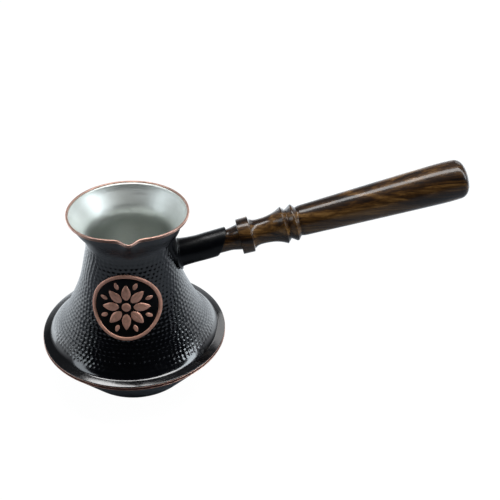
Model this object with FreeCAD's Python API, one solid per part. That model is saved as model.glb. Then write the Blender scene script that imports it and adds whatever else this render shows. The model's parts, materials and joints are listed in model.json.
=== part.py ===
import FreeCAD, Part
import math
import os

from FreeCAD import Vector

# Turkish coffee pot: two spun copper shells joined at a belly flange, a saddle
# and ferrule on the neck, and a turned wooden handle that screws into them.
# Millimetres. Origin at the centre of the flat base, +Z up, handle towards +X,
# pouring lip towards -Y.

# ---- driving dimensions ----
FOOT_R = 31.5           # flat base
PAN_R = 50.3            # top of the lower cone
PAN_Z = 23.4
FLANGE_R = 52.4         # belly flange, both sheets
FLANGE_LOW = 25.7       # underside of the lower sheet edge
FLANGE_TOP = 28.1       # top of the upper sheet edge
SHEET = 1.1             # copper sheet
SHOULDER_R = 46.5       # where the flat band meets the sloping belly
SHOULDER_Z = 29.6
RIM_R = 32.8            # outside of the bare copper rim
RIM_TOP = 106.2
RIM_H = 1.8
RIM_T = 1.4
NECK_Z = 88.0           # height of the narrowest part of the neck

# outside of the upper shell: (height, radius) where its curve changes
BELL = [
    (27.0, 49.4),
    (34.0, 43.1),
    (40.0, 39.5),
    (46.0, 36.3),
    (52.0, 33.5),
    (58.0, 30.9),
    (64.0, 28.8),
    (70.0, 27.2),
    (76.0, 25.9),
    (82.0, 24.6),
    (NECK_Z, 23.7),
    (92.0, 24.3),
    (95.0, 25.9),
    (98.0, 28.0),
    (101.0, 29.8),
    (105.4, 31.7),
]

# pouring lip pinched into the rim
LIP_AZ = -91.3          # degrees, direction of its tip
LIP_OUT = 5.1           # tip stands out of the drawn-in rim by this much
LIP_PINCH = 4.2         # front of the rim drawn in by this much
LIP_WIDTH = 7.5         # degrees
PINCH_WIDTH = 38.0      # degrees
LIP_FROM = 90.0         # height where the lip starts

# badge on the front
BADGE_AZ = -98.0
BADGE_Z = 63.8
BADGE_R = 18.4
BADGE_RING = 1.9
BADGE_T = 0.5           # plate
BADGE_RELIEF = 0.6      # ring and rosette above the plate
BADGE_TILT = 18.0       # degrees the badge faces upwards
PETALS = 8

# handle axis
AXIS_X = 25.4
AXIS_Z = 76.7
RISE = 13.5             # degrees above level
SADDLE_T = 1.3
SADDLE_LOW = 69.3
SADDLE_TOP = 96.5
SADDLE_FOOT = 6.5       # half width at its lower end
SADDLE_HEAD = 15.0      # half width at its upper end
SADDLE_ROUND = 4.5      # corners
TUBE_R = 7.3
TUBE_WALL = 0.9
MOUTH_S = 25.3          # along the axis to the middle of the tube's mouth
MOUTH_LEAN = 31.0       # degrees, upper edge longer
FILLET = 1.3            # braze bead at the root of the tube

# plug, stud and wood, distances along the handle axis
PLUG_FROM = 9.0
PLUG_TO = 15.0
STUD_R = 3.0
STUD_FIT = 0.05
STUD_FROM = 6.0
STUD_TO = 62.0
TENON_R = 6.1
TENON_TO = 30.6
COLLAR_FROM = 35.9
COLLAR_TO = 42.8
COLLAR_R = 10.1
COVE_S = 47.8
COVE_R = 7.15
RING1_S = 61.5
RING1_R = 10.6
GROOVE1_S = 63.9
GROOVE1_R = 8.3
RING2_S = 67.4
RING2_R = 10.5
GROOVE2_S = 69.7
GROOVE2_R = 8.2
GRIP_S = 71.4
GRIP_R = 8.7
SWELL_S = 158.0
SWELL_R = 11.2
TIP_S = 166.2
END_ROUND = 6.0

AXIS = Vector(0, 0, 1)
ORIGIN = Vector(0, 0, 0)


def revolve(edges, axis_point=ORIGIN, axis=AXIS):
    face = Part.Face(Part.Wire(edges))
    return face.revolve(axis_point, axis, 360)


def chain(points):
    # straight edges through (radius, height) points, closed
    vs = [Vector(r, 0, z) for r, z in points]
    return [Part.makeLine(a, b) for a, b in zip(vs, vs[1:] + vs[:1])]


def wall_shift(index):
    # sideways distance that gives the sheet its thickness on a sloping wall
    low = BELL[max(index - 1, 0)]
    high = BELL[min(index + 1, len(BELL) - 1)]
    slope = (high[1] - low[1]) / (high[0] - low[0])
    return SHEET * math.sqrt(1 + slope * slope)


def lip_shift(height, azimuth):
    # how far the lip moves the wall outwards at this height and direction
    if height <= LIP_FROM:
        return 0.0
    share = ((height - LIP_FROM) / (RIM_TOP - LIP_FROM)) ** 1.3
    off = (azimuth - LIP_AZ + 180.0) % 360.0 - 180.0
    tip = LIP_OUT * math.exp(-(off / LIP_WIDTH) ** 2)
    drawn_in = LIP_PINCH * math.exp(-(off / PINCH_WIDTH) ** 2)
    return share * (tip - drawn_in)


def azimuths():
    # closer together around the lip
    near = [LIP_AZ + 3.0 * k for k in range(-9, 10)]
    far = [LIP_AZ + 27.0 + 9.0 * k for k in range(1, 34)]
    return near + far


def section(height, radius):
    angles = azimuths()
    points = []
    for a in angles:
        r = radius + lip_shift(height, a)
        t = math.radians(a)
        points.append(Vector(r * math.cos(t), r * math.sin(t), height))
    curve = Part.BSplineCurve()
    params = [math.radians(a - angles[0]) for a in angles] + [2 * math.pi]
    curve.interpolate(Points=points, Parameters=params, PeriodicFlag=True)
    return Part.Wire(curve.toShape())


def loft(rows):
    return Part.makeLoft([section(z, r) for z, r in rows], True, False)


def bell_shell():
    outer = loft(BELL)
    rows = [(z, r - wall_shift(i)) for i, (z, r) in enumerate(BELL)]
    first = (BELL[0][0] - 1.0, rows[0][1] + 1.0)
    last = (RIM_TOP + 1.0, rows[-1][1] + 0.8)
    inner = loft([first] + rows + [last])
    wall = outer.cut(inner)
    # flat band that the belly runs into
    low = FLANGE_TOP - SHEET
    points = [(SHOULDER_R - 2.5, low), (FLANGE_R, low), (FLANGE_R, FLANGE_TOP)]
    points += [(SHOULDER_R - 2.5, SHOULDER_Z + 0.5)]
    band = revolve(chain(points)).cut(inner)
    return wall.fuse(band).fuse(rim()).removeSplitter()


def rim():
    # thickened bare edge that follows the lip
    z0 = RIM_TOP - RIM_H
    outer = loft([(z0, RIM_R - 0.8), (z0 + 0.5, RIM_R - 0.1), (RIM_TOP, RIM_R)])
    start = (z0 - 1.0, RIM_R - 0.8 - RIM_T - 0.4)
    inner = loft([start, (z0, RIM_R - 0.8 - RIM_T), (RIM_TOP + 1.0, RIM_R - RIM_T)])
    return outer.cut(inner)


def base_pan():
    low = FLANGE_LOW
    top = FLANGE_LOW + SHEET
    points = [
        (0, 0),
        (FOOT_R - 0.8, 0),
        (FOOT_R + 0.3, 0.8),
        (PAN_R, PAN_Z),
        (PAN_R + 0.6, low),
        (FLANGE_R, low),
        (FLANGE_R, top),
        (PAN_R - 1.0, top),
        (PAN_R - SHEET - 0.2, PAN_Z + 0.3),
        (FOOT_R - 1.0, SHEET + 0.7),
        (FOOT_R - 2.0, SHEET),
        (0, SHEET),
    ]
    return revolve(chain(points))


def seam_braze():
    low = FLANGE_LOW + SHEET
    high = FLANGE_TOP - SHEET
    r_in = PAN_R - 0.8
    r_out = FLANGE_R - 0.3
    return revolve(chain([(r_in, low), (r_out, low), (r_out, high), (r_in, high)]))


def skin(offset):
    # solid bounded by the upper shell's outside, grown sideways by offset
    curve = Part.BSplineCurve()
    points = [Vector(r + offset, 0, z) for z, r in BELL[:-2]]
    curve.interpolate(points)
    low = points[0]
    high = points[-1]
    a = Vector(0, 0, low.z)
    b = Vector(0, 0, high.z)
    edges = [Part.makeLine(a, low), curve.toShape(), Part.makeLine(high, b), Part.makeLine(b, a)]
    return revolve(edges)


def badge_frame():
    # centre of the badge and the direction it faces
    r = 28.8
    t = math.radians(BADGE_AZ)
    u = math.radians(BADGE_TILT)
    centre = Vector(r * math.cos(t), r * math.sin(t), BADGE_Z)
    facing = Vector(math.cos(t) * math.cos(u), math.sin(t) * math.cos(u), math.sin(u))
    return centre, facing


def badge_prism(face_wires):
    # extrude a flat outline, drawn around the origin, through the badge area
    centre, facing = badge_frame()
    turn = FreeCAD.Rotation(AXIS, facing)
    up = turn.multVec(Vector(0, 1, 0))
    want = AXIS - facing * facing.z
    roll = math.degrees(up.getAngle(want))
    if facing.dot(up.cross(want)) < 0:
        roll = -roll
    side = FreeCAD.Rotation(facing, roll)
    solid = Part.Face(face_wires).extrude(Vector(0, 0, 24))
    solid.translate(Vector(0, 0, -12))
    solid.Placement = FreeCAD.Placement(centre, side.multiply(turn)).multiply(solid.Placement)
    return solid


def circle(radius):
    return Part.Wire(Part.makeCircle(radius))


def medallion_plate():
    layer = skin(0.02 + BADGE_T).cut(skin(0.02))
    return badge_prism([circle(BADGE_R - BADGE_RING)]).common(layer)


def medallion_ring():
    layer = skin(0.02 + BADGE_T + BADGE_RELIEF).cut(skin(0.02))
    inside = badge_prism([circle(BADGE_R - BADGE_RING)])
    return badge_prism([circle(BADGE_R)]).cut(inside).common(layer)


def petal(angle):
    near = 3.6
    far = 12.8
    half = 2.4
    mid = 8.6
    a = Vector(near, 0, 0)
    b = Vector(far, 0, 0)
    left = Part.Arc(a, Vector(mid, half, 0), b).toShape()
    right = Part.Arc(b, Vector(mid, -half, 0), a).toShape()
    wire = Part.Wire([left, right])
    wire.rotate(ORIGIN, AXIS, angle)
    return wire


def medallion_petal(angle):
    # one leaf of the rosette, lying on the plate
    layer = skin(0.02 + BADGE_T + BADGE_RELIEF).cut(skin(0.02 + BADGE_T))
    return badge_prism([petal(angle)]).common(layer)


def medallion_boss():
    layer = skin(0.02 + BADGE_T + BADGE_RELIEF).cut(skin(0.02 + BADGE_T))
    return badge_prism([circle(2.6)]).common(layer)


def along(solid):
    # place something built along +X from the origin onto the handle axis
    solid.rotate(ORIGIN, Vector(0, 1, 0), -RISE)
    solid.translate(Vector(AXIS_X, 0, AXIS_Z))
    return solid


def bar(radius, start, end):
    return Part.makeCylinder(radius, end - start, Vector(start, 0, 0), Vector(1, 0, 0))


def saddle_plate():
    layer = skin(0.02 + SADDLE_T).cut(skin(0.02))
    outline = [
        Vector(5, -SADDLE_FOOT, SADDLE_LOW),
        Vector(5, SADDLE_FOOT, SADDLE_LOW),
        Vector(5, SADDLE_HEAD, SADDLE_TOP),
        Vector(5, -SADDLE_HEAD, SADDLE_TOP),
    ]
    block = Part.Face(Part.makePolygon(outline + outline[:1])).extrude(Vector(40, 0, 0))
    corners = [e for e in block.Edges if is_corner(e)]
    return block.makeFillet(SADDLE_ROUND, corners).common(layer)


def is_corner(edge):
    a, b = edge.Vertexes
    return abs(a.X - b.X) > 30


def ferrule():
    tube = bar(TUBE_R, -12, MOUTH_S + 12).cut(bar(TUBE_R - TUBE_WALL, -13, MOUTH_S + 13))
    knife = Part.makeBox(60, 60, 60, Vector(0, -30, -30))
    knife.rotate(ORIGIN, Vector(0, 1, 0), MOUTH_LEAN)
    knife.translate(Vector(MOUTH_S, 0, 0))
    tube = along(tube.cut(knife))
    return tube.cut(skin(0.02 + SADDLE_T)).Solids[0]


def ferrule_braze():
    bead = along(bar(TUBE_R + FILLET, -12, 20).cut(bar(TUBE_R, -13, 21)))
    layer = skin(0.02 + SADDLE_T + FILLET).cut(skin(0.02 + SADDLE_T))
    front = Part.makeBox(60, 60, 120, Vector(5, -30, 20))
    return bead.common(layer).common(front).Solids[0]


def ferrule_plug():
    plug = bar(TUBE_R - TUBE_WALL, PLUG_FROM, PLUG_TO)
    return along(plug.cut(bar(STUD_R + STUD_FIT, PLUG_FROM - 1, PLUG_TO + 1)))


def handle_stud():
    stud = bar(STUD_R, STUD_FROM, STUD_TO)
    ends = [e for e in stud.Edges if e.Closed]
    return along(stud.makeChamfer(0.6, ends))


def wood_handle():
    def at(s, r):
        return Vector(s, 0, r)

    def line(a, b):
        return Part.makeLine(a, b)

    def curve(points):
        spline = Part.BSplineCurve()
        spline.interpolate(points)
        return spline.toShape()

    start = at(PLUG_TO, TENON_R)
    tenon = at(TENON_TO, TENON_R)
    neck = at(COLLAR_FROM, 7.3)
    c1 = at(COLLAR_FROM, COLLAR_R - 0.8)
    c2 = at(COLLAR_FROM + 0.9, COLLAR_R)
    c3 = at(COLLAR_TO - 0.9, COLLAR_R)
    c4 = at(COLLAR_TO, COLLAR_R - 0.8)
    c5 = at(COLLAR_TO, 8.4)
    cove = at(COVE_S, COVE_R)
    ring1 = at(RING1_S, RING1_R)
    groove1 = at(GROOVE1_S, GROOVE1_R)
    ring2 = at(RING2_S, RING2_R)
    groove2 = at(GROOVE2_S, GROOVE2_R)
    grip = at(GRIP_S, GRIP_R)
    swell = at(SWELL_S, SWELL_R)
    turn = at(TIP_S - END_ROUND, SWELL_R - 0.2)
    cap = at(TIP_S, 5.4)
    tip = at(TIP_S, 0)
    edges = [line(start, tenon), line(tenon, neck), line(neck, c1), line(c1, c2)]
    edges += [line(c2, c3), line(c3, c4), line(c4, c5)]
    edges += [curve([c5, cove, at(53.5, 7.85), ring1])]
    edges += [line(ring1, at(RING1_S + 0.5, RING1_R)), line(at(RING1_S + 0.5, RING1_R), groove1)]
    edges += [line(groove1, at(RING2_S - 0.4, RING2_R)), line(at(RING2_S - 0.4, RING2_R), ring2)]
    edges += [line(ring2, groove2), line(groove2, grip)]
    edges += [curve([grip, at(100.0, 9.7), at(130.0, 10.7), swell, turn])]
    edges += [Part.Arc(turn, at(TIP_S - 1.8, 9.0), cap).toShape()]
    edges += [line(cap, tip), line(tip, at(PLUG_TO, 0)), line(at(PLUG_TO, 0), start)]
    wood = revolve(edges, ORIGIN, Vector(1, 0, 0))
    return along(wood.cut(bar(STUD_R, PLUG_TO - 1, STUD_TO + 0.5)))


def nodes():
    out = {
        "bell_shell": bell_shell(),
        "base_pan": base_pan(),
        "seam_braze": seam_braze(),
        "medallion_plate": medallion_plate(),
        "medallion_ring": medallion_ring(),
        "medallion_boss": medallion_boss(),
        "saddle_plate": saddle_plate(),
        "ferrule": ferrule(),
        "ferrule_braze": ferrule_braze(),
        "ferrule_plug": ferrule_plug(),
        "handle_stud": handle_stud(),
        "wood_handle": wood_handle(),
    }
    for k in range(PETALS):
        angle = 90.0 + 360.0 * k / PETALS
        out["medallion_petal_%d" % (k + 1)] = medallion_petal(angle)
    return out


os.makedirs("parts", exist_ok=True)
for name, shape in nodes().items():
    solid = shape.Solids[0] if len(shape.Solids) == 1 else shape
    print(name, len(shape.Solids), solid.isValid(), round(solid.Volume, 1))
    solid.exportStep("parts/" + name + ".step")
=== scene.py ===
import json
import math

import bpy
import numpy as np
from mathutils import Matrix, Vector


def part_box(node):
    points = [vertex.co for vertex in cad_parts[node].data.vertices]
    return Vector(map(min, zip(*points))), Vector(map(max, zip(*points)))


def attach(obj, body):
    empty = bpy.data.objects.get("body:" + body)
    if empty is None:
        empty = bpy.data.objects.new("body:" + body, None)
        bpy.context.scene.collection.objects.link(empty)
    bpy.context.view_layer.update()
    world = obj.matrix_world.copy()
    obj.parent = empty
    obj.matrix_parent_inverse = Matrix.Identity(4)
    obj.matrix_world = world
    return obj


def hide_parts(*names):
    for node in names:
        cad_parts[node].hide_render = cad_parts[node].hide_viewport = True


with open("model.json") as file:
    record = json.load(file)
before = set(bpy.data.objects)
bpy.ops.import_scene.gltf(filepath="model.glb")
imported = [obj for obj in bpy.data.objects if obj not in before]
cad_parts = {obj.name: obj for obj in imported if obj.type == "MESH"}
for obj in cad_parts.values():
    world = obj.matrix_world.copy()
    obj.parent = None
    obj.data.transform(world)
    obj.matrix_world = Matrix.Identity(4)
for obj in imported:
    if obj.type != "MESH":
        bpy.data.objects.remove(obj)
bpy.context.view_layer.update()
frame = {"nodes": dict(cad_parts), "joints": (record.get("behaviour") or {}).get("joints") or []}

MM = 0.001
RNG = np.random.default_rng(11)


# ---------------------------------------------------------------- sizes, mm
def design_box(name):
    # lowest and highest corner of a design node, to a tenth
    low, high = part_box(name)
    return [round(c / MM, 1) for c in low], [round(c / MM, 1) for c in high]


PAN_LOW, PAN_HIGH = design_box("base_pan")
SHELL_LOW, SHELL_HIGH = design_box("bell_shell")
PLATE_LOW, PLATE_HIGH = design_box("saddle_plate")
TUBE_HIGH = design_box("ferrule")[1]

SHEET = 1.1
FOOT_R = 31.5
PAN_R = 50.3
PAN_Z = 23.4
FLANGE_R = SHELL_HIGH[0]
FLANGE_LOW = PAN_HIGH[2] - SHEET
FLANGE_TOP = SHELL_LOW[2] + SHEET
EDGE_R = FLANGE_R - 1.4   # hidden inner side of the lines on the flange's edge
COAT_R = FLANGE_R - 0.15  # the black coat stops just short of the edge
EDGE_LINE = 0.38          # bare copper line of each sheet
RIM_R = 32.8
RIM_TOP = SHELL_HIGH[2]
RIM_H = 1.8
FILLET_Z = 31.2           # the flange's fillet runs into the bell here
# outline of the bell, (height, radius)
BELL = [
    (27.0, 49.4), (34.0, 43.1), (40.0, 39.5), (46.0, 36.3), (52.0, 33.5), (58.0, 30.9),
    (64.0, 28.8), (70.0, 27.2), (76.0, 25.9), (82.0, 24.6), (88.0, 23.7), (92.0, 24.3),
    (95.0, 25.9), (98.0, 28.0), (101.0, 29.8), (105.4, 31.7),
]
BELL_SPAN = (28, 105)     # heights at which the bell's slope is safe to take

# pouring lip: LIP_AZ and both widths are in degrees
LIP_AZ = -91.3
LIP_OUT = 5.1
LIP_PINCH = 4.2
LIP_WIDTH = 7.5
PINCH_WIDTH = 38.0
LIP_FROM = 90.0

BADGE_AZ = -98.0
BADGE_Z = 63.8
BADGE_R = 18.4
BADGE_RING = 1.9
BADGE_TILT = 18.0
BADGE_BACK = -16.0        # further behind the badge is the far side of the pot
FIELD_H = 0.42            # the badge's black field stands over the shell by this
PETALS = 8

# handle: places along its axis are measured from AXIS_X, AXIS_Z
SLIDE = frame["joints"][0]["axis"]
RISE = math.radians(round(math.degrees(math.atan2(SLIDE[2], SLIDE[0])), 1))
AXIS_X = 25.4
AXIS_Z = 76.7
TUBE_R = TUBE_HIGH[1]
MOUTH_S = 25.3
MOUTH_LEAN = math.radians(31.0)
SADDLE_FOOT = 6.5
SADDLE_HEAD = 15.0
SADDLE_LOW = PLATE_LOW[2]
SADDLE_TOP = PLATE_HIGH[2]
SADDLE_T = 1.3
TUBE_T = 0.9
BORE_R = 3.0
BORE_END = 62.5
TENON_R = 6.1
TENON_S = 15.0
COLLAR_S = 35.9
COVE_S = 42.95
COVE_END = 61.4
GRIP_S = 73.0
GRIP_END = 160.2
GRIP_END_R = 11.05
END_ROUND = 6.0

# hammer marks
MARK_PITCH = 2.75
MARK_ROW = 2.3
MARK_DEPTH = 0.2
MARK_REACH = 1.42
MARK_WANDER = 0.24        # how far a mark strays from its place
ROW_WANDER = 0.2          # how far a row strays, in marks
MARK_LOW = 31.0
MARK_HIGH = 91.0

# ---------------------------------------------------------------- studio
CAMERA_AT = (0.0, -0.3906, 0.34324)
CAMERA_YAW = math.radians(9.67)
CAMERA_PITCH = math.radians(34.025)
CAMERA_ROLL = math.radians(1.677)
CAMERA_LENS = 61.2
SENSOR = 36.0
FLOOR_HALF = 6.0
COOL = (0.86, 0.94, 1.0)
COOL_SWEEP = (0.88, 0.95, 1.0)


# ---------------------------------------------------------------- curves
def cubic(xs, ys, at):
    # natural cubic spline through the points
    xs = np.asarray(xs, float)
    ys = np.asarray(ys, float)
    n = len(xs)
    h = np.diff(xs)
    a = np.eye(n)
    b = np.zeros(n)
    for i in range(1, n - 1):
        a[i, i - 1] = h[i - 1]
        a[i, i] = 2 * (h[i - 1] + h[i])
        a[i, i + 1] = h[i]
        b[i] = 6 * ((ys[i + 1] - ys[i]) / h[i] - (ys[i] - ys[i - 1]) / h[i - 1])
    m = np.linalg.solve(a, b)
    at = np.asarray(at, float)
    k = np.clip(np.searchsorted(xs, at) - 1, 0, n - 2)
    u = at - xs[k]
    w = xs[k + 1] - at
    hk = h[k]
    out = (m[k] * w ** 3 + m[k + 1] * u ** 3) / (6 * hk)
    out += (ys[k] / hk - m[k] * hk / 6) * w
    return out + (ys[k + 1] / hk - m[k + 1] * hk / 6) * u


BELL_Z = [z for z, r in BELL]
BELL_R = [r for z, r in BELL]


def bell_r(z):
    return cubic(BELL_Z, BELL_R, z)


def bell_slope(z):
    return (bell_r(np.asarray(z) + 0.05) - bell_r(np.asarray(z) - 0.05)) / 0.1


def run_along(zs):
    # length along the bell's outline from the first height to each one
    steps = np.hypot(np.diff(zs), np.diff(bell_r(zs)))
    return np.concatenate([[0], np.cumsum(steps)])


def lip_shift(z, azimuth):
    # how far the lip moves the wall outwards; azimuth in degrees
    share = np.clip((z - LIP_FROM) / (RIM_TOP - LIP_FROM), 0, 1.2) ** 1.3
    off = (azimuth - LIP_AZ + 180.0) % 360.0 - 180.0
    tip = LIP_OUT * np.exp(-(off / LIP_WIDTH) ** 2)
    drawn_in = LIP_PINCH * np.exp(-(off / PINCH_WIDTH) ** 2)
    return share * (tip - drawn_in)


def wall(z):
    # sideways thickness of the sheet, drawn thin towards the rim
    t = SHEET * np.sqrt(1 + bell_slope(np.clip(z, *BELL_SPAN)) ** 2)
    return t * (1 - 0.78 * smooth_step(98.0, 105.0, np.asarray(z, float)))


def smooth_step(low, high, x):
    t = np.clip((x - low) / (high - low), 0, 1)
    return t * t * (3 - 2 * t)


def curve(a, b, c, t):
    # point at t on the curve from a to c that is drawn towards b
    return (1 - t) ** 2 * a + 2 * t * (1 - t) * b + t * t * c


def last_inside(inside, low, high, shape):
    # furthest value between low and high at which the test still holds
    low = np.full(shape, low)
    high = np.full(shape, high)
    for _ in range(40):
        mid = (low + high) / 2
        held = inside(mid)
        low = np.where(held, mid, low)
        high = np.where(held, high, mid)
    return low


def round_corner(points, index, radius, steps=6):
    # replace one corner of an open polyline by an arc-like run of points
    p = [np.asarray(q, float) for q in points]
    a, b, c = p[index - 1], p[index], p[index + 1]
    u = (a - b) / np.linalg.norm(a - b)
    v = (c - b) / np.linalg.norm(c - b)
    s = b + u * radius
    e = b + v * radius
    run = [curve(s, b, e, t) for t in np.linspace(0, 1, steps)]
    return p[:index] + run + p[index + 1:]


def soften(points, corners, steps=6):
    # corners: {index: radius}, applied from the last so the indices hold
    out = [np.asarray(q, float) for q in points]
    for index in sorted(corners, reverse=True):
        out = round_corner(out, index, corners[index], steps)
    return np.array(out)


# ---------------------------------------------------------------- meshes
def new_piece(name, verts, faces, mats, body):
    mesh = bpy.data.meshes.new(name)
    mesh.from_pydata((np.asarray(verts) * MM).tolist(), [], faces)
    for m in mats:
        mesh.materials.append(m)
    mesh.polygons.foreach_set("use_smooth", [True] * len(mesh.polygons))
    mesh.update()
    ob = bpy.data.objects.new(name, mesh)
    bpy.context.scene.collection.objects.link(ob)
    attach(ob, body)
    return ob


def grid_faces(rows, cols, start=0, flip=False):
    # four-sided faces of a grid that wraps round its columns; flip turns them over
    faces = []
    for i in range(rows - 1):
        for j in range(cols):
            a = start + i * cols + j
            b = start + i * cols + (j + 1) % cols
            c = b + cols
            d = a + cols
            faces.append((a, d, c, b) if flip else (a, b, c, d))
    return faces


def full_turn(steps):
    return np.linspace(0, 2 * math.pi, steps, endpoint=False)


def turned(rz, steps):
    # grid of points for a (radius, height) line turned about Z
    ang = full_turn(steps)
    rz = np.asarray(rz, float)
    x = rz[:, :1] * np.cos(ang)
    y = rz[:, :1] * np.sin(ang)
    z = np.repeat(rz[:, 1:2], steps, axis=1)
    return np.stack([x, y, z], axis=-1)


def to_handle(points):
    # from handle coordinates (along, side, up) to the frame
    p = np.asarray(points, float)
    x = AXIS_X + p[..., 0] * math.cos(RISE) - p[..., 2] * math.sin(RISE)
    z = AXIS_Z + p[..., 0] * math.sin(RISE) + p[..., 2] * math.cos(RISE)
    return np.stack([x, p[..., 1], z], axis=-1)


def loop_piece(name, grid, mats, body, flip=False):
    # closed ring: grid wraps both ways; shape (rows, columns, 3)
    rows, cols = grid.shape[:2]
    total = rows * cols
    faces = grid_faces(rows + 1, cols, flip=flip)
    faces = [tuple(v % total for v in f) for f in faces]
    return new_piece(name, grid.reshape(-1, 3), faces, mats, body)


def pole_piece(name, grid, mats, body, flip=False):
    # closed body whose first and last rows are single points
    rows, cols = grid.shape[:2]
    inner = grid[1:-1]
    verts = np.concatenate([grid[0, :1], inner.reshape(-1, 3), grid[-1, :1]])
    faces = grid_faces(rows - 2, cols, start=1, flip=flip)
    end = len(verts) - 1
    base = 1 + (rows - 3) * cols
    for j in range(cols):
        k = (j + 1) % cols
        first = (0, 1 + j, 1 + k)
        last = (end, base + k, base + j)
        faces.append(first if flip else first[::-1])
        faces.append(last if flip else last[::-1])
    return new_piece(name, verts, faces, mats, body)


# ---------------------------------------------------------------- materials
def shader(name):
    mat = bpy.data.materials.new(name)
    mat.use_nodes = True
    tree = mat.node_tree
    return mat, tree, tree.nodes["Principled BSDF"]


def node(tree, kind, **values):
    # new node; each value goes to the node's own setting or to the input of that name
    n = tree.nodes.new(kind)
    for key, value in values.items():
        if hasattr(n, key):
            setattr(n, key, value)
        else:
            n.inputs[key.replace("_", " ")].default_value = value
    return n


def ramp(tree, source, stops):
    r = tree.nodes.new("ShaderNodeValToRGB")
    while len(r.color_ramp.elements) < len(stops):
        r.color_ramp.elements.new(0.5)
    for element, (at, colour) in zip(r.color_ramp.elements, stops):
        element.position = at
        element.color = (*colour, 1.0)
    tree.links.new(source, r.inputs["Fac"])
    return r.outputs["Color"]


def grey_ramp(tree, source, low, high):
    return ramp(tree, source, [(0.3, (low,) * 3), (0.7, (high,) * 3)])


def object_coords(tree, scale=(1, 1, 1), rotation=(0, 0, 0)):
    c = tree.nodes.new("ShaderNodeTexCoord")
    m = node(tree, "ShaderNodeMapping", Scale=scale, Rotation=rotation)
    tree.links.new(c.outputs["Object"], m.inputs["Vector"])
    return m.outputs["Vector"]


def noise(tree, vector, scale, detail=3.0, rough=0.55, distortion=0.0):
    n = node(tree, "ShaderNodeTexNoise", Scale=scale, Detail=detail, Roughness=rough,
             Distortion=distortion)
    tree.links.new(vector, n.inputs["Vector"])
    return n.outputs["Fac"]


def bump(tree, height, strength, distance):
    b = node(tree, "ShaderNodeBump", Strength=strength, Distance=distance)
    tree.links.new(height, b.inputs["Height"])
    return b.outputs["Normal"]


def enamel(name, rough_low, rough_high, colour=(0.0010, 0.0013, 0.0021), level=0.5, ior=1.5):
    # semi-gloss black coat with faint orange peel and slightly worn patches
    mat, tree, p = shader(name)
    v = object_coords(tree)
    p.inputs["IOR"].default_value = ior
    p.inputs["Specular IOR Level"].default_value = level
    tone = noise(tree, v, 60.0, 4.0)
    dark = tuple(c * 0.75 for c in colour)
    light = tuple(c * 1.35 for c in colour)
    tree.links.new(ramp(tree, tone, [(0.35, dark), (0.7, light)]), p.inputs["Base Color"])
    patch = noise(tree, v, 220.0, 3.0)
    tree.links.new(grey_ramp(tree, patch, rough_low, rough_high), p.inputs["Roughness"])
    peel = noise(tree, v, 1500.0, 2.0)
    tree.links.new(bump(tree, peel, 0.06, 0.0002), p.inputs["Normal"])
    return mat


def copper(name, tone, rough, metallic=1.0):
    # bare copper, a little tarnished
    mat, tree, p = shader(name)
    v = object_coords(tree)
    p.inputs["Metallic"].default_value = metallic
    n = noise(tree, v, 340.0, 4.0, 0.6)
    dark = tuple(c * 0.72 for c in tone)
    light = tuple(min(1.0, c * 1.18) for c in tone)
    tree.links.new(ramp(tree, n, [(0.3, dark), (0.55, tone), (0.8, light)]), p.inputs["Base Color"])
    tree.links.new(grey_ramp(tree, n, rough + 0.12, rough - 0.05), p.inputs["Roughness"])
    fine = noise(tree, v, 2600.0, 2.0)
    tree.links.new(bump(tree, fine, 0.12, 0.0001), p.inputs["Normal"])
    return mat


def tin(name):
    # satin tin lining: fine marks run round the pot, colour clouds slightly
    mat, tree, p = shader(name)
    p.inputs["Metallic"].default_value = 1.0
    v = object_coords(tree)
    cloud = noise(tree, v, 45.0, 4.0)
    stops = [(0.3, (0.65, 0.68, 0.64)), (0.7, (0.80, 0.83, 0.80))]
    tree.links.new(ramp(tree, cloud, stops), p.inputs["Base Color"])
    wipe = object_coords(tree, scale=(60, 60, 2600))
    streak = noise(tree, wipe, 1.0, 3.0)
    tree.links.new(grey_ramp(tree, streak, 0.40, 0.56), p.inputs["Roughness"])
    tree.links.new(bump(tree, streak, 0.10, 0.00015), p.inputs["Normal"])
    return mat


def braze(name):
    # dark red-brown joint metal with small lumps
    mat, tree, p = shader(name)
    p.inputs["Metallic"].default_value = 0.6
    v = object_coords(tree)
    n = noise(tree, v, 500.0, 4.0)
    stops = [(0.35, (0.05, 0.018, 0.013)), (0.65, (0.20, 0.075, 0.05))]
    tree.links.new(ramp(tree, n, stops), p.inputs["Base Color"])
    tree.links.new(grey_ramp(tree, n, 0.65, 0.42), p.inputs["Roughness"])
    tree.links.new(bump(tree, n, 0.35, 0.0003), p.inputs["Normal"])
    return mat


def steel(name):
    # plated steel with a thread's ridges
    mat, tree, p = shader(name)
    p.inputs["Metallic"].default_value = 1.0
    v = object_coords(tree)
    n = noise(tree, v, 900.0, 3.0)
    stops = [(0.3, (0.42, 0.42, 0.43)), (0.7, (0.60, 0.60, 0.61))]
    tree.links.new(ramp(tree, n, stops), p.inputs["Base Color"])
    tree.links.new(grey_ramp(tree, n, 0.42, 0.28), p.inputs["Roughness"])
    # thread: fine ridges across the stud's axis
    w = node(tree, "ShaderNodeTexWave", Scale=160.0, Distortion=0.0)
    w.wave_type = "BANDS"
    w.bands_direction = "X"
    turn = object_coords(tree, rotation=(0, RISE, 0))
    tree.links.new(turn, w.inputs["Vector"])
    tree.links.new(bump(tree, w.outputs["Fac"], 0.5, 0.0006), p.inputs["Normal"])
    return mat


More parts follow.
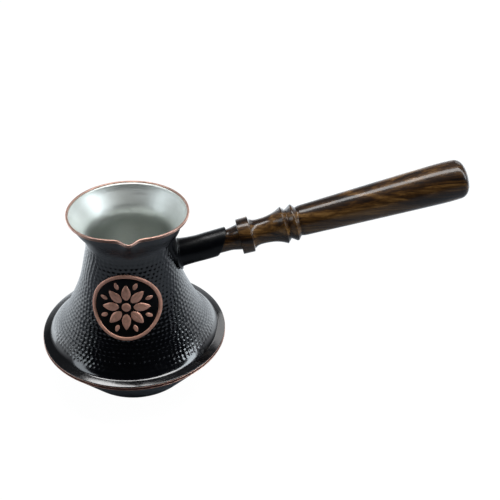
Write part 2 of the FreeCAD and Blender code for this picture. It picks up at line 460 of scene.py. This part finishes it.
def walnut(name):
    # dark lacquered wood: long streaks along the handle, pores, clear lacquer
    mat, tree, p = shader(name)
    p.inputs["Coat Weight"].default_value = 0.65
    p.inputs["Coat Roughness"].default_value = 0.13
    p.inputs["Specular IOR Level"].default_value = 0.15
    p.inputs["Coat IOR"].default_value = 1.5
    turn = (0, RISE, 0)
    flow = object_coords(tree, scale=(10, 110, 110), rotation=turn)
    figure = noise(tree, flow, 1.0, 4.0, 0.6, 1.2)
    stripes = object_coords(tree, scale=(16, 520, 520), rotation=turn)
    grain = noise(tree, stripes, 1.0, 4.0, 0.7, 0.6)
    mix = node(tree, "ShaderNodeMath", operation="MULTIPLY_ADD")
    tree.links.new(grain, mix.inputs[0])
    mix.inputs[1].default_value = 0.55
    tree.links.new(figure, mix.inputs[2])
    stops = [
        (0.60, (0.0040, 0.0016, 0.0007)),
        (0.74, (0.0240, 0.0095, 0.0026)),
        (0.85, (0.0800, 0.0360, 0.0085)),
        (1.0, (0.2400, 0.1250, 0.0380)),
    ]
    tree.links.new(ramp(tree, mix.outputs[0], stops), p.inputs["Base Color"])
    tree.links.new(grey_ramp(tree, grain, 0.50, 0.34), p.inputs["Roughness"])
    pores = object_coords(tree, scale=(160, 2200, 2200), rotation=turn)
    fine = noise(tree, pores, 1.0, 2.0)
    tree.links.new(bump(tree, fine, 0.16, 0.0002), p.inputs["Normal"])
    lacquer = noise(tree, object_coords(tree), 900.0, 2.0)
    tree.links.new(bump(tree, lacquer, 0.05, 0.0002), p.inputs["Coat Normal"])
    return mat


BLACK = enamel("black_enamel", 0.13, 0.20, ior=1.75)
GLOSSY = enamel("black_enamel_smooth", 0.10, 0.16, ior=1.75)
SATIN = enamel("black_enamel_satin", 0.28, 0.38, level=0.26)
# plain neck coat: the same black lifted to a grey, painted sheen standing in for the pale floor it
# reflects
PLAIN_SHEEN = enamel("black_enamel_plain_painted_sheen", 0.36, 0.44, (0.009, 0.010, 0.013), ior=1.75)
FIELD = enamel("badge_field_black", 0.36, 0.48, (0.0008, 0.0009, 0.0010), 0.15)
COPPER = copper("bare_copper", (0.56, 0.35, 0.28), 0.36)
RELIEF = copper("badge_copper", (0.76, 0.40, 0.29), 0.46, 0.6)
TIN = tin("tin_lining")
BRAZE = braze("joint_braze")
STEEL = steel("zinc_steel")
WOOD = walnut("lacquered_walnut")


# ---------------------------------------------------------------- upper shell
def badge_basis():
    t = math.radians(BADGE_AZ)
    u = math.radians(BADGE_TILT)
    facing = np.array([math.cos(t) * math.cos(u), math.sin(t) * math.cos(u), math.sin(u)])
    right = np.array([-math.sin(t), math.cos(t), 0.0])
    up = np.cross(facing, right)
    if up[2] < 0:
        up = -up
    r = float(bell_r(BADGE_Z))
    centre = np.array([r * math.cos(t), r * math.sin(t), BADGE_Z])
    return centre, facing, right, up


def on_badge(u, v, h):
    # point over the shell at (u, v) in the badge's plane, h above the surface
    centre, facing, right, up = badge_basis()
    u, v, h = np.broadcast_arrays(u, v, h)
    base = centre + u[..., None] * right + v[..., None] * up

    def in_bell(out):
        q = base + out[..., None] * facing
        return np.hypot(q[..., 0], q[..., 1]) < bell_r(q[..., 2])

    out = last_inside(in_bell, -14.0, 14.0, u.shape)
    p = base + out[..., None] * facing
    r = np.hypot(p[..., 0], p[..., 1])
    n = np.stack([p[..., 0] / r, p[..., 1] / r, -bell_slope(p[..., 2])], axis=-1)
    n /= np.linalg.norm(n, axis=-1, keepdims=True)
    return p + h[..., None] * n


def shell_rows():
    # outside of the upper shell from the flange's edge to under the rim
    band_end = np.array([48.6, 28.86])
    towards = np.array([47.3, 29.1])
    bell_start = np.array([bell_r(FILLET_Z), FILLET_Z])
    band = soften([(COAT_R, 27.7), (COAT_R, 28.16), band_end], {1: 0.3}, 4)
    fillet = [curve(band_end, towards, bell_start, t) for t in np.linspace(0, 1, 12)[1:-1]]
    zs = np.linspace(FILLET_Z, RIM_TOP - RIM_H + 0.3, 4000)
    run = run_along(zs)
    count = int(run[-1] / 0.43)
    z = np.interp(np.linspace(0, run[-1], count), run, zs)
    side = np.stack([bell_r(z), z], axis=1)
    return np.concatenate([band, np.array(fillet), side])


def hammer(z, azimuth, radius):
    # depth of the hammer marks at each point, mm
    zs = np.linspace(MARK_LOW - 4, MARK_HIGH + 4, 3000)
    run = run_along(zs)
    t = np.interp(z, zs, run)
    rows = int(run[-1] / MARK_ROW) + 2
    z_of_row = np.interp(np.arange(rows) * MARK_ROW, run, zs)
    count = np.maximum(np.round(2 * math.pi * bell_r(z_of_row) / MARK_PITCH), 1)
    most = int(count.max()) + 1
    shift = RNG.uniform(-MARK_WANDER, MARK_WANDER, (rows, most, 2))
    size = RNG.uniform(0.88, 1.12, (rows, most))
    start = np.arange(rows) * 0.5 + RNG.uniform(-ROW_WANDER, ROW_WANDER, rows)
    best = np.zeros(z.shape)
    nearest = np.round(t / MARK_ROW).astype(int)
    for step in (-1, 0, 1):
        i = np.clip(nearest + step, 0, rows - 1)
        n = count[i]
        pos = (azimuth / 360.0) * n - start[i]
        for side in (0, 1):
            k = np.floor(pos).astype(int) + side
            kk = np.mod(k, n).astype(int)
            du = (pos - k) * (2 * math.pi * radius / n) + shift[i, kk, 0]
            dv = t - i * MARK_ROW + shift[i, kk, 1]
            reach = MARK_REACH * size[i, kk]
            cup = np.clip(1 - (du * du + dv * dv * 1.15) / (reach * reach), 0, 1)
            best = np.maximum(best, cup ** 1.6 * size[i, kk])
    fade = smooth_step(MARK_LOW - 0.5, MARK_LOW + 1.5, z)
    fade = fade * (1 - smooth_step(MARK_HIGH - 3.0, MARK_HIGH, z))
    return MARK_DEPTH * np.clip(best, 0, 1.2) * fade


def badge_clear(points):
    # 0 under the badge and 1 away from it
    centre, facing, right, up = badge_basis()
    d = points - centre
    rho = np.hypot(d @ right, d @ up)
    out = smooth_step(BADGE_R + 0.1, BADGE_R + 1.0, rho)
    return np.where(d @ facing > BADGE_BACK, out, 1.0)


def shell_outside():
    # black coat of the upper shell, with its hammer marks
    rows = shell_rows()
    steps = 660
    az = np.linspace(0, 360, steps, endpoint=False)
    z = np.repeat(rows[:, 1:2], steps, axis=1)
    r = rows[:, :1] + lip_shift(z, az[None, :])
    azg = np.repeat(az[None, :], len(rows), axis=0)
    a = np.radians(azg)
    pts = np.stack([r * np.cos(a), r * np.sin(a), z], axis=-1)
    depth = hammer(z, azg, r) * badge_clear(pts)
    slope = bell_slope(np.clip(z, *BELL_SPAN))
    k = 1 / np.sqrt(1 + slope * slope)
    out = np.stack([np.cos(a) * k, np.sin(a) * k, -slope * k], axis=-1)
    pts = pts - depth[..., None] * out
    # hidden back of the coat, closing the piece
    back_z = (104.3, 101.0, 98.0, 95.0, 92.0, 88.0, 76.0, 64.0, 52.0, 40.0, 31.4)
    back = [(bell_r(b) - 0.45 * wall(b), b) for b in back_z]
    back = np.array(back + [(47.2, 28.75), (51.9, 27.7)])
    zb = np.repeat(back[:, 1:2], steps, axis=1)
    rb = back[:, :1] + lip_shift(zb, az[None, :])
    ab = np.radians(az)[None, :]
    hidden = np.stack([rb * np.cos(ab), rb * np.sin(ab), zb], axis=-1)
    grid = np.concatenate([pts, hidden])
    ob = loop_piece("bell_outside", grid, [BLACK, GLOSSY, PLAIN_SHEEN], "pot")
    # the flat band is smooth gloss; the neck above the marks is plain, and its lighter black is painted
    # sheen
    band = sum(1 for row in rows if row[1] < FILLET_Z)
    plain = sum(1 for row in rows if row[1] < MARK_HIGH)
    index = np.zeros(len(grid) * steps, int)
    index[: band * steps] = 1
    index[plain * steps:] = 2
    ob.data.polygons.foreach_set("material_index", index)
    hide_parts("bell_shell")


def follow_lip(profile, steps):
    # grid of points for a (radius, height) line that also takes the lip's shape
    az = np.linspace(0, 360, steps, endpoint=False)
    p = np.asarray(profile, float)
    z = np.repeat(p[:, 1:2], steps, axis=1)
    r = p[:, :1] + lip_shift(z, az[None, :])
    a = np.radians(az)[None, :]
    return np.stack([r * np.cos(a), r * np.sin(a), z], axis=-1)


def shell_rim():
    # folded copper edge: a lower fine line, a groove and the main bead
    top = RIM_TOP
    low = top - RIM_H
    outline = [
        (RIM_R - 1.2, low + 0.1),
        (RIM_R - 0.62, low),
        (RIM_R - 0.34, low + 0.10),
        (RIM_R - 0.20, low + 0.34),
        (RIM_R - 0.46, low + 0.56),
        (RIM_R - 0.48, low + 0.70),
        (RIM_R - 0.12, low + 0.88),
        (RIM_R, low + 1.16),
        (RIM_R - 0.05, top - 0.32),
        (RIM_R - 0.28, top - 0.07),
        (RIM_R - 0.58, top),
        (RIM_R - 0.90, top - 0.05),
        (RIM_R - 1.14, top - 0.22),
        (RIM_R - 1.24, top - 0.50),
        (RIM_R - 1.30, top - 0.85),
    ]
    grid = follow_lip(outline, 420)
    ob = loop_piece("bell_rim", grid, [COPPER], "pot")
    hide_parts("bell_shell")


def shell_inside():
    # tinned face, from the rim down to the ledge inside the flange
    zs = np.linspace(RIM_TOP - 0.72, 29.5, 90)
    inner = np.stack([bell_r(np.clip(zs, BELL_Z[0], BELL_Z[-1])) - wall(zs), zs], axis=1)
    ledge = [(48.6, 28.2), (49.0, 27.02), (51.2, 27.02), (51.2, 27.6)]
    heights = (32, 40, 52, 64, 76, 88, 92, 95, 98, 101, 103, 104.8)
    hidden = [(47.0, 28.6)] + [(bell_r(z) - 0.55 * wall(z), z) for z in heights]
    profile = np.concatenate([inner, ledge, hidden])
    ob = loop_piece("bell_inside", follow_lip(profile, 300), [TIN], "pot")
    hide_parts("bell_shell")


def edge_ring(name, low, high):
    # bare copper edge of one flange sheet
    mid = (low + high) / 2
    near = FLANGE_R - 0.2
    outline = [(EDGE_R, low), (near, low), (FLANGE_R - 0.02, low + 0.12), (FLANGE_R, mid)]
    outline += [(FLANGE_R - 0.02, high - 0.12), (near, high), (EDGE_R, high)]
    return loop_piece(name, turned(outline, 360), [COPPER], "pot")


def joint_bead(low, high):
    # braze drawn into the joint between the two sheets, a little hollow
    near = FLANGE_R - 0.18
    deep = FLANGE_R - 0.45
    outline = [(EDGE_R, low), (near, low), (deep + 0.1, low + 0.2), (deep, (low + high) / 2)]
    outline += [(deep + 0.1, high - 0.2), (near, high), (EDGE_R, high)]
    ob = loop_piece("joint_bead", turned(outline, 360), [BRAZE], "pot")
    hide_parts("seam_braze")


def lower_pan():
    # black outside and tinned inside, which meet in the middle of the sheet
    low = FLANGE_LOW
    middle = [(EDGE_R, low + 0.5), (PAN_R - 0.6, PAN_Z + 0.3), (FOOT_R - 0.3, 0.95), (0, 0.75)]
    outside = [(0, 0.25), (26.0, 0.25), (27.2, 0.0), (FOOT_R - 0.9, 0.0), (FOOT_R + 0.4, 0.9)]
    outside += [(PAN_R, PAN_Z), (PAN_R + 0.7, low), (COAT_R, low), (COAT_R, low + 0.35)]
    line = soften(outside + middle, {3: 0.6, 4: 0.8, 5: 1.5, 6: 0.5, 7: 0.15})
    ob = pole_piece("pan_outside", turned(line, 300), [GLOSSY], "pot")
    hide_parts("base_pan")
    top = low + SHEET
    inside = [(EDGE_R, top), (PAN_R - 1.0, top), (PAN_R - 1.3, PAN_Z + 0.3)]
    inside += [(FOOT_R - 1.2, 1.9), (FOOT_R - 2.6, 1.15), (0, 1.1)]
    line = soften(middle[::-1] + inside, {6: 1.2, 7: 1.2, 8: 1.0})
    ob = pole_piece("pan_inside", turned(line, 240), [TIN], "pot")
    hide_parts("base_pan")
    ring = edge_ring("pan_edge", low, low + EDGE_LINE)
    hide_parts("base_pan")
    high = FLANGE_TOP - 0.35
    ring = edge_ring("bell_edge", high - EDGE_LINE, high)
    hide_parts("bell_shell")
    joint_bead(low + EDGE_LINE, high - EDGE_LINE)


# ---------------------------------------------------------------- badge
def badge_disc(line, steps):
    # grid of points for a (radius, height) line turned about the badge's middle
    line = np.array(line)
    theta = full_turn(steps)
    height = np.repeat(line[:, 1:2], steps, axis=1)
    return on_badge(line[:, :1] * np.cos(theta), line[:, :1] * np.sin(theta), height)


def badge_ring():
    # raised ring, from its inner foot over the top to its outer foot
    r = BADGE_R
    w = BADGE_RING
    section = [
        (r - w - 0.05, -0.15), (r - w, 0.55), (r - w + 0.2, 0.85), (r - w + 0.55, 1.0),
        (r - 0.55, 1.0), (r - 0.2, 0.85), (r, 0.55), (r + 0.05, -0.15),
    ]
    grid = badge_disc(section, 220)
    ob = loop_piece("medallion_ring_relief", grid, [RELIEF], "pot", flip=True)
    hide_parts("medallion_ring")


def badge_plate():
    # black field inside the ring
    edge = BADGE_R - BADGE_RING + 0.3
    line = [(s * edge, FIELD_H) for s in np.linspace(0, 1, 16)]
    line += [(s * edge, -0.12) for s in (1.0, 0.6, 0.3, 0.0)]
    grid = badge_disc(line, 96)
    ob = pole_piece("medallion_field", grid, [FIELD], "pot", flip=True)
    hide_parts("medallion_plate")


def leaf(angle, near, far, half, mid, high, name, replaced):
    # domed leaf with a groove down its middle, between near and far from the badge's middle
    t = full_turn(40)
    x = (near + far) / 2 + (far - near) / 2 * np.cos(t)
    lean = np.clip(1 + (mid - x) * 0.06, 0.5, 1.4)
    y = half * np.sin(t) * np.abs(np.sin(t)) ** 0.55 * lean
    rows = [(s, True) for s in (0.0, 0.25, 0.45, 0.62, 0.76, 0.87, 0.95, 1.0)]
    rows += [(s, False) for s in (1.0, 0.5, 0.0)]
    us, vs, hs = [], [], []
    ca, sa = math.cos(angle), math.sin(angle)
    for scale, upper in rows:
        px = mid + (x - mid) * scale
        py = y * scale
        us.append(px * ca - py * sa)
        vs.append(px * sa + py * ca)
        height = np.full(len(t), FIELD_H + high * (1 - scale ** 4) if upper else 0.2)
        if upper and scale < 0.97:
            height = height - 0.16 * np.exp(-(py / 0.28) ** 2)
        hs.append(height)
    grid = on_badge(np.array(us), np.array(vs), np.array(hs))
    ob = pole_piece(name, grid, [RELIEF], "pot", flip=True)
    if replaced:
        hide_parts(replaced)


def badge_rosette():
    # petals round a domed middle, and small leaves between their tips
    half_step = math.pi / PETALS
    for k in range(PETALS):
        number = k + 1
        angle = math.pi / 2 + 2 * half_step * k
        petal = "rosette_leaf_%d" % number
        small = "wreath_leaf_%d" % number
        leaf(angle, 3.7, 12.7, 2.35, 8.4, 0.62, petal, "medallion_petal_%d" % number)
        leaf(angle + half_step, 10.6, 14.9, 1.15, 12.9, 0.5, small, None)
    dome = [(0, 1.1), (0.6, 1.08), (1.3, 0.98), (1.9, 0.82), (2.3, 0.6), (2.5, 0.3)]
    grid = badge_disc(dome + [(1.0, 0.2), (0, 0.2)], 48)
    ob = pole_piece("rosette_boss", grid, [RELIEF], "pot", flip=True)
    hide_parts("medallion_boss")


# ---------------------------------------------------------------- handle root
def on_side(y, z, h):
    # point over the shell on its handle side, h sideways from the surface
    r = bell_r(z) + h
    return np.stack([np.sqrt(np.maximum(r * r - y * y, 0)), y, z], axis=-1)


def saddle():
    # rounded plate, wider at its head, with a soft edge
    half_z = (SADDLE_TOP - SADDLE_LOW) / 2
    mid_z = (SADDLE_TOP + SADDLE_LOW) / 2
    t = full_turn(120)
    power = 2 / 3.6
    oz = half_z * np.sign(np.sin(t)) * np.abs(np.sin(t)) ** power
    half = SADDLE_FOOT + (SADDLE_HEAD - SADDLE_FOOT) * (oz / half_z + 1) / 2
    oy = half * np.sign(np.cos(t)) * np.abs(np.cos(t)) ** power
    rows = [(s, SADDLE_T) for s in (0.0, 0.2, 0.4, 0.6, 0.75, 0.88, 0.945)]
    rows += [(0.96, SADDLE_T - 0.16), (0.98, SADDLE_T - 0.46), (0.992, SADDLE_T - 0.84)]
    rows += [(1.0, SADDLE_T - 1.25), (1.0, -0.25), (0.8, -0.3), (0.5, -0.3), (0.0, -0.3)]
    grid = []
    for scale, h in rows:
        grid.append(on_side(oy * scale, mid_z + oz * scale, h))
    ob = pole_piece("saddle", np.array(grid), [SATIN], "pot", flip=True)
    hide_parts("saddle_plate")


def tube_root(radius, theta, h):
    # distance along the handle axis where a line beside it meets the saddle
    def in_saddle(s):
        p = tube_point(s, radius, theta)
        return np.hypot(p[..., 0], p[..., 1]) < bell_r(np.clip(p[..., 2], *BELL_SPAN)) + h

    return last_inside(in_saddle, -14.0, 20.0, theta.shape)


def tube_point(s, radius, theta):
    # point at s along the handle's axis, radius from it, theta from straight up
    return to_handle(np.stack([s, radius * np.sin(theta), radius * np.cos(theta)], axis=-1))


def ferrule():
    # sheet tube from the saddle to its slanting mouth, and back inside
    theta = full_turn(120)
    up = np.cos(theta)
    root = tube_root(TUBE_R, theta, SADDLE_T - 0.5)
    mouth = MOUTH_S + math.tan(MOUTH_LEAN) * TUBE_R * up
    grid = []
    # the sheet is worked by hand: wider at the root, a little uneven
    wave = 0.07 * np.sin(2 * theta + 0.6) + 0.05 * np.sin(3 * theta + 2.0)
    for t in np.linspace(0, 1, 26):
        s = root + (mouth - 0.25 - root) * t
        flare = (0.55 + 0.75 * np.clip(up, 0, 1)) * np.exp(-(s - root) / 5.0)
        swell = 0.14 * np.exp(-((s - 17.0) / 5.0) ** 2)
        lifted = 0.4 * np.exp(-((s - mouth) / 6.0) ** 2)
        pressed = 0.3 * np.exp(-((s - 13.0) / 5.0) ** 2)
        dent = np.clip(up, 0, 1) * (lifted - pressed)
        r = TUBE_R + flare + swell + dent + wave * math.sin(math.pi * t)
        grid.append(tube_point(s, r, theta))
    edge_r = TUBE_R + 0.4 * np.clip(up, 0, 1)
    grid.append(tube_point(mouth - 0.08, edge_r - 0.06, theta))
    grid.append(tube_point(mouth, edge_r - 0.3, theta))
    grid.append(tube_point(mouth, edge_r - 0.62, theta))
    grid.append(tube_point(mouth - 0.12, TUBE_R - 0.84 + 0 * theta, theta))
    for t in np.linspace(0, 1, 8):
        s = mouth - 0.35 + (root - mouth + 0.35) * t
        grid.append(tube_point(s, TUBE_R - TUBE_T + 0 * theta, theta))
    ob = loop_piece("ferrule_tube", np.array(grid), [SATIN], "pot", flip=True)
    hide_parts("ferrule")


def root_fillet():
    # hollow bead from the tube's root out onto the saddle
    theta = full_turn(120)
    up = np.cos(theta)
    wide = 1.5
    inner_r = TUBE_R + 0.5 + 0.7 * np.clip(up, 0, 1)
    s0 = tube_root(inner_r, theta, SADDLE_T)
    outer_r = inner_r + wide
    s1 = tube_root(outer_r, theta, SADDLE_T)
    grid = []
    for t in np.linspace(0, 1, 9):
        s = curve(s0 + wide, s0 + 0.1, s1 + 0.02, t)
        r = curve(inner_r - 0.12, inner_r, outer_r, t)
        grid.append(tube_point(s, r, theta))
    grid.append(tube_point(s1 - 0.4, outer_r - 0.2, theta))
    grid.append(tube_point(s0 - 0.4, inner_r - 0.9, theta))
    ob = loop_piece("ferrule_fillet", np.array(grid), [SATIN], "pot")
    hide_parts("ferrule_braze")


# ---------------------------------------------------------------- wood
def handle_line():
    # (along, radius) of the turned handle, from the stud's hole to the tip
    bore = [(BORE_END, 0.0), (BORE_END, BORE_R), (TENON_S, BORE_R)]
    tenon = [(TENON_S, TENON_R), (30.6, TENON_R + 0.02), (COLLAR_S, 7.3)]
    collar = [(COLLAR_S + 0.05, 9.95), (42.7, 10.15), (42.9, 8.6)]
    rounding = {1: 0.3, 2: 0.3, 3: 0.5, 4: 1.5, 5: 0.25, 6: 0.35, 7: 0.4}
    head = soften(bore + tenon + collar, rounding, 5)[:-1]
    cove_s = [COVE_S, 45.0, 47.8, 51.0, 54.5, 58.0, COVE_END]
    cove_r = [8.6, 7.5, 7.15, 7.3, 7.8, 8.85, 10.55]
    s = np.linspace(COVE_S, COVE_END, 40)
    cove = np.stack([s, cubic(cove_s, cove_r, s)], axis=1)
    rings = [(COVE_END, 10.55), (61.75, 10.5), (63.9, 8.25), (66.9, 10.4), (67.7, 10.35)]
    rings += [(69.7, 8.15), (71.3, 8.55), (74.0, 8.8)]
    rings = soften(rings, {1: 0.15, 2: 0.5, 3: 0.35, 4: 0.35, 5: 0.5, 6: 0.5}, 5)[1:-1]
    grip_s = [GRIP_S, 85.0, 100.0, 115.0, 130.0, 145.0, 155.0, GRIP_END]
    grip_r = [8.7, 9.05, 9.6, 10.15, 10.65, 11.05, 11.2, GRIP_END_R]
    s = np.linspace(GRIP_S, GRIP_END, 60)
    grip = np.stack([s, cubic(grip_s, grip_r, s)], axis=1)
    a = np.linspace(0, math.pi / 2, 26)[1:-1]
    end_s = GRIP_END + END_ROUND * np.sin(a) ** 0.95
    end = np.stack([end_s, GRIP_END_R * np.cos(a) ** 0.56], axis=1)
    tip = [(GRIP_END + END_ROUND, 0.0)]
    return np.concatenate([head, cove, rings, grip, end, tip])


def handle_wood():
    line = handle_line()
    theta = full_turn(128)
    s = np.repeat(line[:, :1], len(theta), axis=1)
    r = np.repeat(line[:, 1:2], len(theta), axis=1)
    # hand finishing: never quite round
    soft = smooth_step(72, 90, s)
    r = r * (1 + soft * (0.006 * np.sin(2 * theta + 0.8) + 0.004 * np.sin(s / 11.0)))
    grid = tube_point(s, r, theta[None, :])
    grid[0] = grid[0].mean(axis=0)
    grid[-1] = grid[-1].mean(axis=0)
    ob = pole_piece("turned_handle", grid, [WOOD], "handle", flip=True)
    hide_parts("wood_handle")


def dress_nodes():
    # pieces whose shape comes straight from the design
    for name in ("ferrule_plug", "handle_stud"):
        mesh = frame["nodes"][name].data
        mesh.materials.clear()
        mesh.materials.append(STEEL)


# ---------------------------------------------------------------- stage
def seen_straight(tree, otherwise, plain, output):
    # the camera sees the plain shader, and every other ray sees the other one
    path = tree.nodes.new("ShaderNodeLightPath")
    mix = tree.nodes.new("ShaderNodeMixShader")
    tree.links.new(path.outputs["Is Camera Ray"], mix.inputs["Fac"])
    tree.links.new(otherwise.outputs[0], mix.inputs[1])
    tree.links.new(plain.outputs[0], mix.inputs[2])
    tree.links.new(mix.outputs[0], output.inputs["Surface"])


def white_floor():
    # plain white sweep: seen straight on it is over-lit, the object only sees the paper
    mat, tree, p = shader("floor_white")
    p.inputs["Base Color"].default_value = (0.03, 0.03, 0.03, 1)
    p.inputs["Roughness"].default_value = 0.9
    p.inputs["Emission Color"].default_value = (1, 1, 1, 1)
    p.inputs["Emission Strength"].default_value = 0.98
    paper = tree.nodes.new("ShaderNodeBsdfPrincipled")
    paper.inputs["Base Color"].default_value = (0.26, 0.28, 0.31, 1)
    paper.inputs["Specular IOR Level"].default_value = 0.0
    paper.inputs["Emission Color"].default_value = (0.9, 0.96, 1.0, 1)
    place = tree.nodes.new("ShaderNodeSeparateXYZ")
    tree.links.new(object_coords(tree), place.inputs[0])
    far = node(tree, "ShaderNodeMapRange", From_Min=0.02, From_Max=0.22, To_Min=0.0, To_Max=2.2)
    tree.links.new(place.outputs["Y"], far.inputs["Value"])
    tree.links.new(far.outputs["Result"], paper.inputs["Emission Strength"])
    seen_straight(tree, paper, p, tree.nodes["Material Output"])
    mesh = bpy.data.meshes.new("floor")
    s = FLOOR_HALF
    mesh.from_pydata([(-s, -s, 0), (s, -s, 0), (s, s, 0), (-s, s, 0)], [], [(0, 1, 2, 3)])
    mesh.materials.append(mat)
    ob = bpy.data.objects.new("floor", mesh)
    bpy.context.scene.collection.objects.link(ob)


def softbox(name, place, target, size, radiance, colour=(1, 1, 1)):
    # area light of a given brightness that the camera doesn't see
    light = bpy.data.lights.new(name, "AREA")
    light.shape = "RECTANGLE"
    light.size = size[0]
    light.size_y = size[1]
    light.energy = radiance * math.pi * size[0] * size[1]
    light.color = colour
    ob = bpy.data.objects.new(name, light)
    ob.location = place
    aim = Vector(target) - Vector(place)
    ob.rotation_euler = aim.to_track_quat("-Z", "Y").to_euler()
    ob.visible_camera = False
    bpy.context.scene.collection.objects.link(ob)


def surroundings():
    # white sweep behind and at the sides, dark studio in front
    world = bpy.data.worlds.new("studio")
    bpy.context.scene.world = world
    world.use_nodes = True
    tree = world.node_tree
    back = tree.nodes["Background"]
    c = tree.nodes.new("ShaderNodeTexCoord")
    split = tree.nodes.new("ShaderNodeSeparateXYZ")
    tree.links.new(c.outputs["Generated"], split.inputs[0])
    span = node(tree, "ShaderNodeMapRange", From_Min=-0.22, From_Max=0.2)
    span.interpolation_type = "SMOOTHSTEP"
    tree.links.new(split.outputs["Y"], span.inputs["Value"])
    height = node(tree, "ShaderNodeMapRange", From_Min=0.15, From_Max=0.55, To_Min=1.0, To_Max=0.07)
    height.interpolation_type = "SMOOTHSTEP"
    tree.links.new(split.outputs["Z"], height.inputs["Value"])
    both = node(tree, "ShaderNodeMath", operation="MULTIPLY")
    tree.links.new(span.outputs["Result"], both.inputs[0])
    tree.links.new(height.outputs["Result"], both.inputs[1])
    tint = ramp(tree, both.outputs[0], [(0.0, (0.008, 0.008, 0.009)), (1.0, (0.96, 1.0, 1.06))])
    tree.links.new(tint, back.inputs["Color"])
    # seen straight on the surroundings are plain pale paper from every side
    pale = tree.nodes.new("ShaderNodeBackground")
    pale.inputs["Color"].default_value = (1.0, 1.0, 1.0, 1)
    seen_straight(tree, back, pale, tree.nodes["World Output"])


def camera():
    # yaw turns it from +Y towards +X, pitch looks down and roll tips it over
    cam = bpy.data.cameras.new("camera")
    cam.sensor_width = SENSOR
    cam.lens = CAMERA_LENS
    cam.clip_start = 0.01
    ob = bpy.data.objects.new("camera", cam)
    level = math.cos(CAMERA_PITCH)
    ahead = Vector((math.sin(CAMERA_YAW) * level, math.cos(CAMERA_YAW) * level, -math.sin(CAMERA_PITCH)))
    right = Vector((math.cos(CAMERA_YAW), -math.sin(CAMERA_YAW), 0))
    up = right.cross(ahead)
    c = math.cos(CAMERA_ROLL)
    s = math.sin(CAMERA_ROLL)
    turn = Matrix((right * c + up * s, up * c - right * s, -ahead)).transposed().to_4x4()
    turn.translation = Vector(CAMERA_AT)
    ob.matrix_world = turn
    bpy.context.scene.collection.objects.link(ob)
    bpy.context.scene.camera = ob


def lights():
    softbox("overhead", (0.08, 0.06, 0.98), (0.05, 0.0, 0.05), (1.0, 0.26), 9.5)
    softbox("right_back", (0.62, 0.75, 0.70), (0, 0, 0.06), (0.45, 0.40), 2.0)
    softbox("right", (0.77, -0.16, 0.62), (0, 0, 0.05), (0.20, 0.80), 7.5, COOL)
    softbox("left", (-0.78, -0.11, 0.58), (0, 0, 0.05), (0.24, 0.75), 3.0, COOL)
    softbox("left_sweep", (-0.60, 0.85, 0.14), (0, 0, 0.05), (0.8, 0.30), 2.1, COOL_SWEEP)
    softbox("right_sweep", (0.75, 0.80, 0.14), (0, 0, 0.05), (0.8, 0.30), 0.9, COOL_SWEEP)


shell_outside()
shell_rim()
shell_inside()
lower_pan()
badge_ring()
badge_plate()
badge_rosette()
saddle()
ferrule()
root_fillet()
handle_wood()
dress_nodes()
white_floor()
surroundings()
lights()
camera()
bpy.context.scene.view_settings.view_transform = "Standard"
